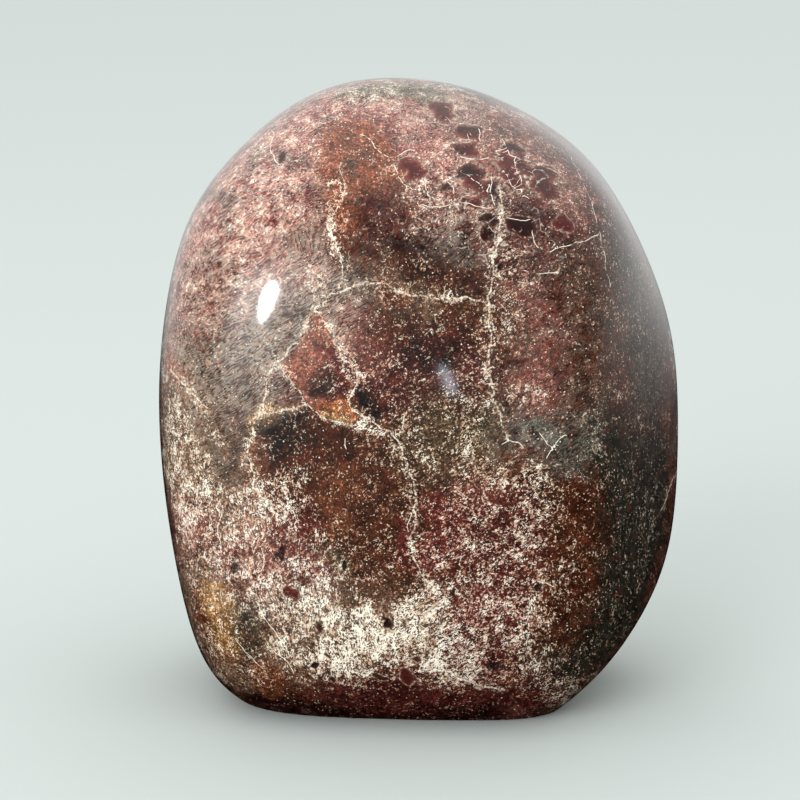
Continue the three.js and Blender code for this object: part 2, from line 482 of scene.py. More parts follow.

# %% [markdown]
# On the shown side each colour has its own places. A patch is a stroke with a colour, a radius and a
# softness in millimetres, and the route that it follows in the picture. Later strokes lie on top, and
# broad ones run out more softly, as stains do. A few strokes paint light rather than the rock: a grey
# sheen and dark mirrored leaves on the right flank, and part of the dark band along the foot is painted
# shade.

# %% The patches
PATCHES = [
    ("rose", 12, 10, [(330, 110), (262, 150), (215, 215), (195, 280)]),
    ("rose", 10, 8, [(300, 165), (262, 205), (240, 250)]),
    ("rose", 7, 5, [(400, 125), (440, 108), (425, 140)]),
    ("rose", 6, 6, [(440, 175), (415, 200)]),
    ("dusk", 9, 8, [(470, 110), (520, 150), (545, 190)]),
    ("dusk", 10, 8, [(430, 225), (480, 250), (545, 245)]),
    ("dusk", 9, 8, [(190, 330), (215, 300), (205, 350)]),
    ("dusk", 8, 7, [(180, 340), (196, 380)]),
    ("bark", 6, 7, [(190, 380), (225, 420)]),
    ("russet", 3, 3, [(170, 366), (185, 384), (196, 398)]),
    ("umber", 5, 5, [(236, 440), (244, 468)]),
    ("wine", 2.2, 2.4, [(202, 262), (217, 250)]),
    ("wine", 1.6, 2, [(231, 222), (228, 230)]),
    ("wine", 1.8, 2.4, [(206, 190), (230, 196)]),
    ("wine", 1.6, 2, [(225, 215), (262, 150)]),
    ("wine", 2.6, 2.5, [(310, 188), (330, 204), (322, 222)]),
    ("wine", 1.8, 2, [(320, 120), (336, 130)]),
    ("wine", 1.8, 2, [(258, 150), (264, 158)]),
    ("wine", 2.2, 2, [(280, 153), (298, 160)]),
    ("olive", 4, 5, [(360, 92), (400, 88), (432, 96)]),
    ("russet", 6, 4, [(348, 142), (342, 165), (352, 200), (372, 232)]),
    ("russet", 4, 3, [(368, 145), (384, 162), (388, 178)]),
    ("ash", 1.4, 3, [(350, 163), (356, 170)]),
    ("rust", 5, 5, [(388, 215), (376, 245), (366, 262)]),
    ("blood", 2.5, 3, [(380, 212), (384, 222)]),
    ("maroon", 8, 7, [(395, 240), (425, 262), (455, 262)]),
    ("night", 6, 5, [(400, 262), (430, 272), (458, 272)]),
    ("umber", 5, 4, [(350, 262), (372, 272)]),
    ("dusk", 6, 5, [(308, 245), (300, 262)]),
    ("maroon", 11, 9, [(530, 290), (560, 330), (545, 380), (520, 400)]),
    ("dusk", 5, 8, [(520, 350), (540, 390), (530, 310)]),
    ("maroon", 7, 6, [(515, 220), (540, 245), (560, 262)]),
    # Painted sheen: this grey ash stroke on the right flank stands for the pale wall mirrored in the
    # polish.
    ("ash", 9, 9, [(620, 250), (640, 320), (648, 390)]),
    ("umber", 8, 8, [(598, 300), (604, 360), (600, 420)]),
    ("umber", 12, 8, [(380, 330), (430, 345), (458, 330)]),
    ("maroon", 7, 6, [(400, 380), (440, 360), (465, 390)]),
    ("night", 4, 4, [(420, 352), (445, 350)]),
    ("bark", 3, 3, [(388, 292), (402, 300), (424, 306)]),
    ("rust", 2, 2, [(386, 290), (398, 298)]),
    ("dusk", 5, 4, [(345, 330), (362, 348)]),
    ("umber", 8, 6, [(290, 330), (262, 350), (235, 380)]),
    ("umber", 7, 6, [(225, 372), (240, 420), (238, 455)]),
    ("maroon", 3, 2, [(286, 382), (292, 398)]),
    ("ochre", 3, 3, [(268, 418), (290, 424), (306, 428)]),
    ("bark", 4, 4, [(276, 432), (300, 428)]),
    ("soot", 4, 3, [(262, 452), (285, 446), (302, 432)]),
    ("soot", 3, 3, [(310, 428), (330, 438)]),
    ("umber", 9, 6, [(350, 450), (330, 480), (372, 490), (395, 470)]),
    ("umber", 10, 7, [(320, 510), (352, 530), (392, 540)]),
    ("rust", 3, 4, [(342, 480), (330, 520)]),
    ("rust", 2.5, 3, [(256, 452), (260, 470)]),
    ("olive", 2.6, 3, [(326, 560), (340, 566)]),
    ("umber", 3.4, 3, [(352, 590), (382, 592), (404, 580)]),
    ("wine", 1.8, 2.5, [(404, 560), (408, 530)]),
    ("wine", 3, 3, [(308, 566), (318, 574)]),
    ("wine", 5, 6, [(270, 560), (290, 530), (250, 590)]),
    ("bark", 10, 8, [(185, 430), (190, 480), (205, 520)]),
    ("dusk", 8, 7, [(190, 540), (215, 580), (245, 560)]),
    ("bark", 9, 7, [(200, 600), (215, 640), (240, 670)]),
    ("rust", 5, 5, [(212, 602), (228, 640)]),
    ("ochre", 3.4, 3, [(216, 600), (228, 622), (226, 640)]),
    ("moss", 5, 4, [(248, 628), (256, 645)]),
    ("bark", 10, 8, [(300, 640), (360, 640), (420, 640)]),
    ("olive", 7, 8, [(440, 428), (430, 445), (478, 432)]),
    ("maroon", 10, 8, [(500, 540), (520, 600), (480, 640)]),
    ("wine", 3, 5, [(440, 510), (452, 530), (430, 560)]),
    ("wine", 3, 5, [(470, 610), (490, 600), (530, 630)]),
    ("ash", 2.4, 3, [(516, 436), (545, 440), (566, 444)]),
    ("slate", 1.2, 2, [(516, 427), (538, 426), (552, 433), (560, 443)]),
    ("moss", 1.6, 2, [(564, 442), (574, 446)]),
    ("night", 1.4, 1.4, [(509, 430), (516, 434)]),
    ("night", 0.55, 0.8, [(533, 432), (541, 441), (549, 450)]),
    ("slate", 0.5, 1, [(577, 446), (600, 446), (632, 448), (676, 447)]),
    ("soot", 0.5, 0.8, [(583, 450), (598, 452), (613, 452)]),
    ("soot", 0.4, 0.6, [(521, 109), (536, 116), (548, 128)]),
    # Painted reflection: this moss stroke on the lower right flank stands for dark leaves mirrored in the
    # polish.
    ("moss", 12, 8, [(600, 470), (625, 520), (618, 590), (590, 640)]),
    ("umber", 6, 6, [(575, 500), (580, 560), (560, 620)]),
    # Painted reflection: dark mirrored leaves on the right flank, like the moss stroke above.
    ("moss", 8, 6, [(655, 470), (650, 540), (630, 600)]),
    # Partly painted shade: these maroon and night strokes along the foot give the rock's darker colour
    # there and also the shade where the base turns under.
    ("maroon", 7, 5, [(400, 692), (350, 700), (470, 700)]),
    ("night", 5, 4, [(260, 700), (320, 712), (400, 722), (480, 715)]),
    ("rust", 3, 3, [(262, 672), (278, 690)]),
]
BROAD, BROAD_SOFTNESS = 4, 1.4


def lay_patches(colour, patches):
    """Lays strokes of colour over a ground, later ones on top."""
    for name, radius, softness, route in patches:
        softness *= BROAD_SOFTNESS if radius > BROAD else 1
        colour = blend(colour, PAINT[name], covered(on_stone(route), radius, softness, ragged))
    return colour


ground = lay_patches(ground, PATCHES)
print(len(PATCHES), "patches on the shown side")

# %% [markdown]
# One patch has its own sharp shape: an orange-red lump of iron-stained garnet, left of the middle, with
# a pale rim on its right and a black notch bitten into it. A soft stroke can't give that outline, so it
# is a closed outline, and each point of the mesh is asked whether it lies inside as the camera sees it.

# %% The orange patch
EMBER_OUTLINE = [
    (309, 314), (320, 312), (328, 324), (334, 342), (344, 356), (354, 366), (358, 378),
    (356, 390), (349, 398), (352, 410), (362, 417), (348, 424), (332, 419), (318, 412),
    (307, 404), (301, 392), (291, 380), (282, 366), (289, 354), (300, 342), (307, 330),
]
EMBER_PATCHES = [
    ("wine", 1.8, 3, [(318, 346), (326, 352)]),
    ("wine", 3, 3, [(338, 372), (350, 380)]),
    ("night", 2.4, 3, [(322, 382), (338, 386)]),
    ("wine", 2.4, 2.4, [(352, 372), (350, 384)]),
    ("wine", 1.6, 2, [(334, 398), (342, 402)]),
    ("orange", 2.2, 2.2, [(330, 412), (345, 404), (351, 416)]),
    ("ochre", 1.4, 1.6, [(326, 418), (350, 422)]),
]
NOTCH = [(361, 390), (366, 400), (374, 408)]
NOTCH_RADIUS, NOTCH_SOFTNESS = 1.5, 1.6


def inside(outline, softness):
    """How far inside a closed outline of the picture each point lies, from 0 to 1."""
    near, _ = nearest_on(on_stone([*outline, outline[0]]), loosened(0.3))
    offset = points - np.array(eye)
    scale = PICTURE * LENS / SENSOR / (offset @ np.array(look))
    across = PICTURE / 2 + scale * (offset @ np.array(right))
    down = PICTURE / 2 - scale * (offset @ np.array(up))
    within = np.zeros(count, bool)
    for (x0, y0), (x1, y1) in zip(outline, [*outline[1:], outline[0]]):
        crosses = (y0 > down) != (y1 > down)
        height = np.where(crosses, (down - y0) / ((y1 - y0) or 1e-9), 0)
        within ^= crosses & (across < x0 + height * (x1 - x0))
    seen = (normals @ np.array(look)) < 0
    return soft_step(np.where(within & seen, -near, near), 0, softness)


ember = inside(EMBER_OUTLINE, 0.7 * MM)
ember_paint = lay_patches(np.tile(PAINT["ember"], (count, 1)), EMBER_PATCHES)
ground = blend(ground, ember_paint, ember)
notch = covered(on_stone(NOTCH), NOTCH_RADIUS, NOTCH_SOFTNESS, loosened(0.6)) * (1 - ember)
ground = blend(ground, PAINT["soot"] * 0.4, notch)
print(int((ember > 0.5).sum()), "points lie in the orange patch")

# %% [markdown]
# Garnet grows as rounded crystals. Where the polish cuts one it shows as a cell up to four millimetres
# across, near-black or glowing red, with a crumbled rim. Each cell of the shown side is a short stroke of
# its own. Those of the hidden sides are strewn with a seeded dice, so that every run strews them alike.

# %% Garnet grains
GRAINS = [
    ("wine", 1.7, [(466, 131), (476, 136)]),
    ("night", 1.0, [(464, 127), (476, 130)]),
    ("blood", 1.4, [(456, 147), (472, 152)]),
    ("night", 0.8, [(455, 145), (462, 149)]),
    ("wine", 1.6, [(503, 156), (509, 165)]),
    ("night", 1.3, [(510, 146), (522, 151)]),
    ("maroon", 1.4, [(519, 160), (527, 170)]),
    ("blood", 1.6, [(510, 174), (517, 184)]),
    ("night", 1.4, [(465, 170), (478, 176)]),
    ("wine", 1.7, [(473, 182), (484, 190)]),
    ("night", 1.0, [(493, 184), (495, 196)]),
    ("maroon", 1.5, [(540, 170), (551, 173)]),
    ("maroon", 2.2, [(540, 182), (548, 189)]),
    ("blood", 1.2, [(466, 201), (476, 202)]),
    ("night", 0.9, [(444, 186), (448, 188)]),
    ("night", 1.2, [(486, 222), (493, 223)]),
    ("night", 1.1, [(486, 234), (493, 235)]),
    ("night", 1.6, [(514, 224), (526, 228)]),
    ("wine", 1.4, [(562, 222), (567, 226)]),
    ("wine", 1.5, [(404, 163), (414, 166)]),
    ("wine", 1.3, [(413, 180), (420, 172)]),
    ("blood", 2.0, [(436, 106), (446, 114)]),
    ("night", 0.8, [(280, 157), (285, 155)]),
    ("maroon", 1.3, [(403, 675), (409, 679)]),
    ("night", 0.7, [(385, 620), (388, 626)]),
    ("night", 0.7, [(406, 621), (408, 628)]),
    ("night", 0.6, [(316, 624), (318, 631)]),
    ("night", 0.5, [(331, 633), (333, 635)]),
    ("night", 0.5, [(387, 646), (390, 647)]),
    ("night", 0.5, [(327, 654), (329, 655)]),
    ("night", 0.6, [(313, 665), (316, 667)]),
    ("night", 0.6, [(330, 679), (334, 681)]),
    ("night", 0.6, [(374, 675), (384, 678)]),
    ("night", 0.6, [(411, 659), (417, 661)]),
    ("blood", 1.0, [(289, 592), (293, 594)]),
]
HIDDEN_GRAINS = 34
OUTSIDE = 60  # millimetres from the middle, where a search for the surface starts
hidden_dice = random.Random(7)
grain_strokes = [(name, radius, on_stone(route)) for name, radius, route in GRAINS]


def outside(azimuth, tilt):
    """A place well outside the stone, in a direction from its middle."""
    return middle + Vector(towards(azimuth, tilt)) * OUTSIDE * MM


for _ in range(HIDDEN_GRAINS):
    start = outside(hidden_dice.uniform(75, 285), hidden_dice.uniform(-50, 68))
    centre = surface.find_nearest(start)[0]
    along = Vector([hidden_dice.uniform(-1.2, 1.2) * MM for _ in range(3)])
    radius = hidden_dice.uniform(0.7, 1.8)
    name = hidden_dice.choice(["night", "wine", "blood", "maroon"])
    grain_strokes.append((name, radius, np.array([centre - along, centre + along])))
crumbled = stirred(2.4 * MM, 1.2 * MM, 13)
grain_share = np.zeros(count)
for name, radius, route in grain_strokes:
    share = covered(route, radius, 0.5 + 0.6 * radius, crumbled)
    ground = blend(ground, PAINT[name], share)
    grain_share = np.maximum(grain_share, share)
print(len(grain_strokes), "garnet grains")

# %% [markdown]
# Cream flecks are what the eye sees first. They are far finer than the mesh, so the mesh only carries how
# thickly they lie, from none to nearly solid, and the shader's noise makes the single flecks. The strokes
# below set that amount along their routes, with a radius in millimetres.

# %% How thickly the flecks lie
FLECK_STROKES = [
    (0.42, 14, [(330, 112), (262, 150), (215, 215), (195, 280)]),
    (0.42, 10, [(300, 190), (270, 225), (245, 262)]),
    (0.56, 6, [(362, 92), (400, 90), (432, 100)]),
    (0.30, 8, [(395, 125), (440, 108)]),
    (0.24, 2.2, [(202, 262), (217, 250)]),
    (0.24, 2.0, [(206, 190), (230, 196)]),
    (0.24, 2.4, [(310, 188), (330, 204), (322, 222)]),
    (0.24, 2.2, [(280, 153), (298, 160)]),
    (0.22, 12, [(450, 140), (520, 150), (560, 200)]),
    (0.50, 5, [(440, 165), (434, 195), (440, 215)]),
    (0.42, 6, [(455, 235), (490, 250)]),
    (0.28, 9, [(520, 205), (545, 235), (500, 245)]),
    (0.10, 7, [(352, 150), (365, 185), (368, 225)]),
    (0.06, 9, [(372, 250), (405, 265), (450, 275)]),
    (0.48, 3, [(338, 190), (330, 225), (340, 262)]),
    (0.36, 9, [(360, 330), (350, 350)]),
    (0.22, 11, [(400, 330), (440, 340), (440, 380)]),
    (0.34, 6, [(380, 390), (420, 395), (450, 400)]),
    (0.13, 14, [(540, 290), (560, 340), (550, 390)]),
    (0.10, 14, [(630, 260), (645, 340), (645, 420)]),
    (0.06, 9, [(664, 420), (668, 500), (655, 580), (630, 640)]),
    (0.40, 9, [(500, 410), (460, 430), (430, 440)]),
    (0.46, 7, [(545, 470), (510, 480), (560, 500)]),
    (0.62, 4, [(478, 488), (470, 500)]),
    (0.60, 4, [(545, 478), (552, 496)]),
    (0.58, 3.5, [(455, 535), (470, 540)]),
    (0.46, 14, [(480, 560), (520, 600), (480, 650)]),
    (0.60, 4, [(510, 612), (522, 620)]),
    (0.10, 10, [(604, 500), (620, 560), (600, 640)]),
    (0.34, 4, [(575, 545), (585, 560)]),
    (0.20, 14, [(330, 460), (350, 500), (350, 560)]),
    (0.34, 5, [(330, 566), (356, 560), (380, 566)]),
    (0.22, 7, [(262, 340), (240, 370)]),
    (0.68, 9, [(178, 440), (200, 490), (215, 540)]),
    (0.10, 7, [(180, 345), (205, 380), (236, 430), (242, 462)]),
    (0.40, 1.6, [(168, 368), (184, 385), (205, 406), (226, 440)]),
    (0.72, 6, [(280, 475), (272, 500), (255, 520)]),
    (0.62, 9, [(240, 540), (262, 580), (300, 600)]),
    (0.40, 9, [(195, 590), (215, 630), (245, 665)]),
    (0.76, 9, [(320, 640), (370, 645), (430, 640)]),
    (0.85, 8, [(340, 625), (380, 640), (360, 660)]),
    (0.70, 5, [(425, 600), (430, 640), (460, 665)]),
    (0.30, 4, [(350, 592), (385, 592), (404, 570)]),
    # Partly painted shade: few flecks along the foot darken the band where the base turns under, as well as
    # its darker rock.
    (0.04, 9, [(250, 708), (300, 709), (380, 709), (500, 709)]),
    (0.10, 4, [(272, 455), (300, 442), (335, 440)]),
    (0.14, 5, [(512, 434), (545, 438), (572, 446)]),
    (0.20, 4, [(300, 240), (308, 250)]),
    (0.60, 1.6, [(333, 342), (346, 358), (358, 372), (356, 388)]),
    (0.62, 2.0, [(350, 418), (362, 422), (372, 426)]),
    (0.32, 2.0, [(502, 205), (497, 240), (492, 262)]),
    (0.52, 3.0, [(503, 262), (500, 300), (490, 335)]),
    (0.46, 3.6, [(512, 285), (506, 310)]),
    (0.42, 1.8, [(490, 340), (490, 375), (493, 400)]),
]
FLECK_SOFTNESS = 0.9  # of the radius
FEWEST, IN_CLOUDS, AT_THE_CROWN = 0.1, 0.42, 0.12


def amounts(field, strokes, softness=1):
    """Draws a field towards the amount of each stroke, along its route."""
    for amount, radius, route in strokes:
        field = field + (amount - field) * covered(on_stone(route), radius, softness * radius, ragged)
    return field


flecks = FEWEST + IN_CLOUDS * clouded(13, 47, 0.5, 0.5) + AT_THE_CROWN * crown
flecks = 0.07 + 0.88 * amounts(flecks, FLECK_STROKES, FLECK_SOFTNESS)
flecks *= (1 - 0.2 * ember) * (1 - 0.6 * grain_share) * (1 - notch)
print("the flecks lie", round(float(flecks.mean()), 2), "thick on average")

# %% [markdown]
# Veins are cracks in the rock that filled with pale quartz and feldspar. The main ones are wide and
# grainy, with a cloud of flecks along them. Each route is a list of places in the picture, read where the
# vein bends, because a vein that is left to chance never crosses the rock where the real one does.

# %% The veins' routes
VEINS = {  # half width in millimetres, how thickly flecks lie along it, and routes
    "main": (0.24, 0.4, [
        [(499, 188), (502, 205), (498, 236), (492, 256), (491, 288), (489, 302), (491, 345), (489, 360),
         (491, 380), (494, 393), (491, 401), (500, 413), (504, 428), (507, 437)],
    ]),
    "loop": (0.22, 0.42, [
        [(490, 307), (474, 300), (460, 298), (446, 297), (422, 295), (400, 293), (388, 284), (366, 282),
         (353, 287), (331, 293), (319, 305), (309, 316), (304, 329), (298, 343), (287, 352), (279, 361),
         (271, 372), (266, 387), (263, 402), (261, 413), (253, 425), (252, 437), (248, 450), (251, 464),
         (255, 473), (253, 485)],
        [(366, 417), (374, 423), (391, 431), (398, 441), (403, 454), (407, 468), (414, 480), (417, 496),
         (413, 508), (415, 521), (411, 536), (412, 552), (418, 565), (425, 580), (437, 593)],
    ]),
    "rim": (0.15, 0.4, [
        [(315, 311), (322, 317), (331, 328), (333, 342), (340, 354), (350, 363), (357, 376), (355, 387),
         (348, 397), (351, 409), (364, 416)],
        [(262, 413), (281, 411), (296, 409), (307, 405), (319, 414), (333, 421), (350, 426), (366, 424)],
        [(281, 367), (291, 381), (301, 393), (307, 405)],
        [(408, 409), (403, 425), (398, 437)],
    ]),
    "foot": (0.3, 0.5, [
        [(428, 612), (420, 630), (425, 645), (437, 662), (455, 676), (478, 685), (500, 689)],
    ]),
    "left edge": (0.22, 0.3, [
        [(168, 368), (176, 376), (184, 385), (195, 396), (205, 406)],
    ]),
    "flecky": (0.14, 0.34, [
        [(341, 163), (345, 182), (344, 194), (336, 211), (327, 225), (331, 236), (339, 251), (341, 262),
         (343, 275), (339, 287)],
    ]),
}
print(sum(len(routes) for _, _, routes in VEINS.values()), "veins")

# %% [markdown]
# Hairlines are the thinnest cracks, too fine to carry flecks. They crowd at the crown, where they part the
# garnet cells, and a few cross the shoulder, the healed fracture at the right and the lower part.

# %% The hairlines' routes
HAIRLINES = {  # half width in millimetres, and routes
    "crown": (0.13, [
        [(362, 135), (367, 136), (374, 147), (391, 158), (398, 156), (407, 149), (420, 151), (437, 152)],
        [(392, 158), (395, 167), (398, 177), (402, 182), (412, 189)],
        [(459, 124), (468, 123), (476, 126), (481, 131), (479, 137), (483, 144), (481, 150)],
        [(444, 144), (456, 151), (461, 157), (474, 159), (487, 158)],
        [(492, 168), (492, 184), (490, 192), (494, 203)],
        [(498, 151), (511, 155), (522, 160), (530, 161)],
        [(537, 164), (548, 168), (556, 172)],
        [(500, 138), (507, 148), (512, 157), (516, 170), (522, 179), (522, 187), (518, 193)],
        [(504, 172), (513, 187), (528, 198)],
        [(426, 181), (427, 196), (431, 198), (446, 198)],
        [(424, 205), (448, 205)],
        [(441, 179), (452, 186), (454, 192), (450, 200)],
        [(465, 174), (474, 181), (483, 190)],
        [(465, 196), (481, 200)],
        [(463, 203), (474, 206), (491, 208)],
        [(509, 218), (522, 221), (528, 220)],
        [(533, 227), (537, 246)],
        [(271, 130), (272, 139), (270, 151), (274, 160), (279, 165), (298, 160)],
        [(305, 117), (334, 117)],
    ]),
    "shoulder": (0.13, [
        [(552, 251), (567, 246), (585, 241), (598, 235)],
        [(565, 148), (572, 161), (578, 172), (592, 203), (596, 218), (600, 233), (602, 248), (606, 270),
         (610, 284)],
        [(526, 271), (548, 273), (556, 272)],
    ]),
    "healed": (0.15, [
        [(504, 443), (511, 441), (522, 446)],
        [(541, 435), (548, 445), (554, 448), (559, 439), (567, 435)],
        [(555, 447), (548, 456)],
    ]),
    "lower": (0.12, [
        [(345, 440), (345, 461)],
        [(221, 516), (221, 554)],
        [(262, 550), (261, 571)],
        [(408, 530), (412, 512)],
        [(540, 582), (552, 586)],
        [(258, 604), (270, 626), (288, 652)],
        [(266, 640), (280, 656), (293, 672)],
        [(236, 640), (250, 656), (262, 668)],
    ]),
}
print(sum(len(routes) for _, routes in HAIRLINES.values()), "hairlines")

# %% [markdown]
# The hidden sides have veins too, which nobody can read from a picture. Each is a walk over the surface
# that keeps changing its mind: a short stride, a small turn, and back onto the stone. Noise could make
# veins everywhere at once, but a walk has two ends and a course, as a crack has.

# %% Veins of the hidden sides
STRIDE, SHORT_STRIDE = 3 * MM, 2 * MM
MOST_TURN = 0.55
HIDDEN_VEINS = [  # azimuth, tilt, rise of the heading and length in millimetres
    (178, 42, -1, 70), (150, 20, -0.6, 46), (-150, 34, -1, 60), (-128, -6, -0.2, 38),
    (196, -14, -0.8, 44), (118, 36, -0.9, 40), (-168, 4, 0.1, 34), (104, -20, 0.4, 30),
]
HIDDEN_HAIRLINES = 34
HIDDEN_VEIN_WIDTH, HIDDEN_HAIR_WIDTH = 0.22, 0.12  # half widths in millimetres
dice = random.Random(20)


def level_with(normal, heading):
    """A heading, laid flat on the surface that has this normal."""
    return (heading - heading.dot(normal) * normal).normalized()


def wander(start, heading, length, stride):
    """A walk over the stone from near a start, as a route."""
    point, normal, _, _ = surface.find_nearest(start)
    heading = level_with(normal, heading)
    route = [point]
    for _ in range(int(length / stride)):
        heading = (heading + normal.cross(heading) * dice.uniform(-MOST_TURN, MOST_TURN)).normalized()
        point, normal, _, _ = surface.find_nearest(point + heading * stride)
        heading = level_with(normal, heading)
        route.append(point)
    return np.array(route)


hidden_veins, hidden_hairs = [], []
for azimuth, tilt, rise, length in HIDDEN_VEINS:
    heading = Vector((dice.uniform(-0.5, 0.5), dice.uniform(-0.5, 0.5), rise))
    hidden_veins.append(wander(outside(azimuth, tilt), heading, length * MM, STRIDE))
for _ in range(HIDDEN_HAIRLINES):
    start = outside(dice.uniform(80, 290), dice.uniform(-45, 65))
    heading = Vector([dice.uniform(-1, 1) for _ in range(3)])
    hidden_hairs.append(wander(start, heading, dice.uniform(4, 15) * MM, SHORT_STRIDE))
print(len(hidden_veins), "veins and", len(hidden_hairs), "hairlines on the hidden sides")

# %% [markdown]
# A route of a few points looks drawn with a ruler, and a real crack wanders at every size. So each stretch
# is halved twice, with its middle pushed sideways over the stone. The mesh then carries the distance to a
# vein and the side that it lies on: where the side changes, the shader can draw a line that is far finer
# than the mesh.

# %% Roughen the routes and measure the distances
HALVINGS = 2
VEIN_SWAY, HAIR_SWAY = 0.16, 0.14  # the most sideways push, as a share of the stretch
FAR = 99.0  # half widths, for points that no route comes near


def roughened(route, sway):
    """A route with each stretch halved a few times, its middles pushed sideways over the stone."""
    route = [Vector(p) for p in route]
    for _ in range(HALVINGS):
        finer = [route[0]]
        for start, end in zip(route[:-1], route[1:]):
            centre, normal, _, _ = surface.find_nearest((start + end) / 2)
            sideways = (end - start).cross(normal)
            finer += [centre + sideways * dice.uniform(-sway, sway), end]
        route = finer
    return np.array(route)


def measure(routes_with_widths, sway):
    """The signed and the plain distance to the nearest of some routes, in half widths."""
    side, near = np.full(count, FAR), np.full(count, FAR)
    for half_width, route in routes_with_widths:
        distance, beside = nearest_on(roughened(route, sway), points)
        closer = distance / (half_width * MM) < near
        near[closer] = (distance / (half_width * MM))[closer]
        side[closer] = (beside / (half_width * MM))[closer]
    return np.clip(side, -FAR, FAR), near


vein_routes = [(width, on_stone(r)) for width, _, routes in VEINS.values() for r in routes]
vein_routes += [(HIDDEN_VEIN_WIDTH, route) for route in hidden_veins]
hair_routes = [(width, on_stone(r)) for width, routes in HAIRLINES.values() for r in routes]
hair_routes += [(HIDDEN_HAIR_WIDTH, route) for route in hidden_hairs]
vein_side, vein_near = measure(vein_routes, VEIN_SWAY)
hair_side, hair_near = measure(hair_routes, HAIR_SWAY)
print("veins come within", round(float(vein_near.min()), 3), "half widths of a point")

# %% [markdown]
# The flecks crowd along a vein, as if its filling had seeped into the walls of the crack. So each vein
# raises the amount of flecks near its route, and never lowers it.

# %% Flecks along the veins
VEIN_CLOUD, HIDDEN_CLOUD, CLOUD_SOFTNESS = 1.2, 1.0, 3  # millimetres to either side, and softness
for _, amount, routes in VEINS.values():
    for route in routes:
        cloud = covered(on_stone(route), VEIN_CLOUD, CLOUD_SOFTNESS, loosened(0.5))
        flecks = np.maximum(flecks, amount * cloud)
for route in hidden_veins:
    flecks = np.maximum(flecks, 0.5 * covered(route, HIDDEN_CLOUD, CLOUD_SOFTNESS, ragged))
print("with the veins they lie", round(float(flecks.mean()), 2), "thick")

# %% [markdown]
# The rock's habits change from place to place, and the mesh carries those amounts in the same way: how
# strongly it is crackled into cells, how far the flecks stand upright rather than slanting, how silky it
# is with fine fibres, how many dark specks sit among the flecks, and one small spot at the upper left
# where fibres lie side by side like a comb, with painted sheen on its grey teeth. The pits come along too.

# %% The other amounts
CRACKLE_STROKES = [
    (1.0, 7, [(460, 130), (480, 170), (520, 160)]),
    (0.9, 6, [(430, 200), (450, 215), (480, 230)]),
    (0.7, 6, [(395, 150), (410, 175)]),
    (0.5, 6, [(300, 150), (285, 165)]),
    (0.6, 5, [(530, 215), (545, 240)]),
]
UPRIGHT_STROKES = [
    (1.0, 22, [(180, 440), (200, 520), (230, 600), (250, 660)]),
    (1.0, 12, [(300, 470), (280, 540), (320, 600)]),
    (1.0, 18, [(650, 300), (650, 420), (640, 520), (600, 640)]),
    (0.7, 12, [(340, 180), (350, 230), (380, 260)]),
]
SILK_STROKES = [
    (0.66, 18, [(330, 112), (262, 150), (215, 215), (195, 280)]),
    (0.85, 14, [(300, 190), (270, 225), (245, 262)]),
    # Partly painted highlight haze: this silk stroke wraps the highlight and also lightens the rock around
    # it.
    (0.8, 12, [(290, 250), (300, 300), (240, 350)]),
    (0.24, 8, [(470, 130), (520, 140), (548, 180)]),
    (0.18, 12, [(540, 290), (560, 340), (550, 390)]),
    # Partly painted highlight haze: this silk stroke left of the highlight is also there to lighten it as
    # the haze does.
    (0.85, 7, [(222, 280), (206, 330)]),
    (0.25, 6, [(515, 434), (550, 438), (575, 446)]),
    (0.7, 9, [(360, 95), (440, 105)]),
    (0.5, 9, [(440, 170), (455, 210)]),
    (0.1, 9, [(352, 150), (365, 185), (368, 225)]),
    (0.3, 12, [(190, 440), (200, 490), (215, 540)]),
    (0.6, 8, [(185, 340), (210, 385)]),
    (0.25, 9, [(240, 540), (262, 580), (300, 600)]),
]
SPECK_STROKES = [
    (1.0, 12, [(310, 640), (370, 650), (430, 650)]),
    (0.8, 9, [(240, 560), (262, 590)]),
    (0.7, 9, [(480, 650), (500, 620)]),
]
COMB_STROKES = [(1.0, 3.2, [(300, 246), (314, 250)])]
BACK_STARTS = 12  # millimetres behind the middle where the hidden side is fully there
hidden = np.clip((points[:, 1] - middle.y) / (BACK_STARTS * MM), 0, 1)
silk_where = (1 - 0.8 * ember) * (1 - notch) * (1 - 0.7 * grain_share)
FIELDS = {
    "ground": ground,
    "flecks": np.clip(flecks, 0, 1),
    "grains": grain_share,
    "vein_side": vein_side,
    "vein_near": vein_near,
    "hair_side": hair_side,
    "hair_near": hair_near,
    "crackle": amounts(hidden * clouded(14, 59, 0.36, 0.12), CRACKLE_STROKES),
    "upright": amounts(0.9 * hidden, UPRIGHT_STROKES),
    "silk": amounts(0.6 * hidden * clouded(17, 71, 0.45, 0.3), SILK_STROKES) * silk_where,
    "specks": amounts(0.25 + 0.3 * hidden, SPECK_STROKES),
    "comb": amounts(0 * hidden, COMB_STROKES),
    "pits": pit_share,
}


def keep(name, values):
    """Stores one number, or a colour, for every point of the mesh."""
    if values.ndim == 1:
        attribute = stone_mesh.attributes.new(name, "FLOAT", "POINT")
        attribute.data.foreach_set("value", values.astype(np.float32))
    else:
        attribute = stone_mesh.attributes.new(name, "FLOAT_COLOR", "POINT")
        with_alpha = np.column_stack([np.clip(values, 0, 1), np.ones(count)])
        attribute.data.foreach_set("color", with_alpha.astype(np.float32).ravel())


for name, values in FIELDS.items():
    keep(name, values)
print("the mesh carries", ", ".join(FIELDS))

# %% [markdown]
# The finish is a net of shader nodes, and sums of nodes are hard to read as links. A small class wraps
# one socket and gives it the signs of arithmetic, so a formula on the stone's values reads as a formula.
# A second class holds the net and makes any other node. The light around the stone uses both as well.

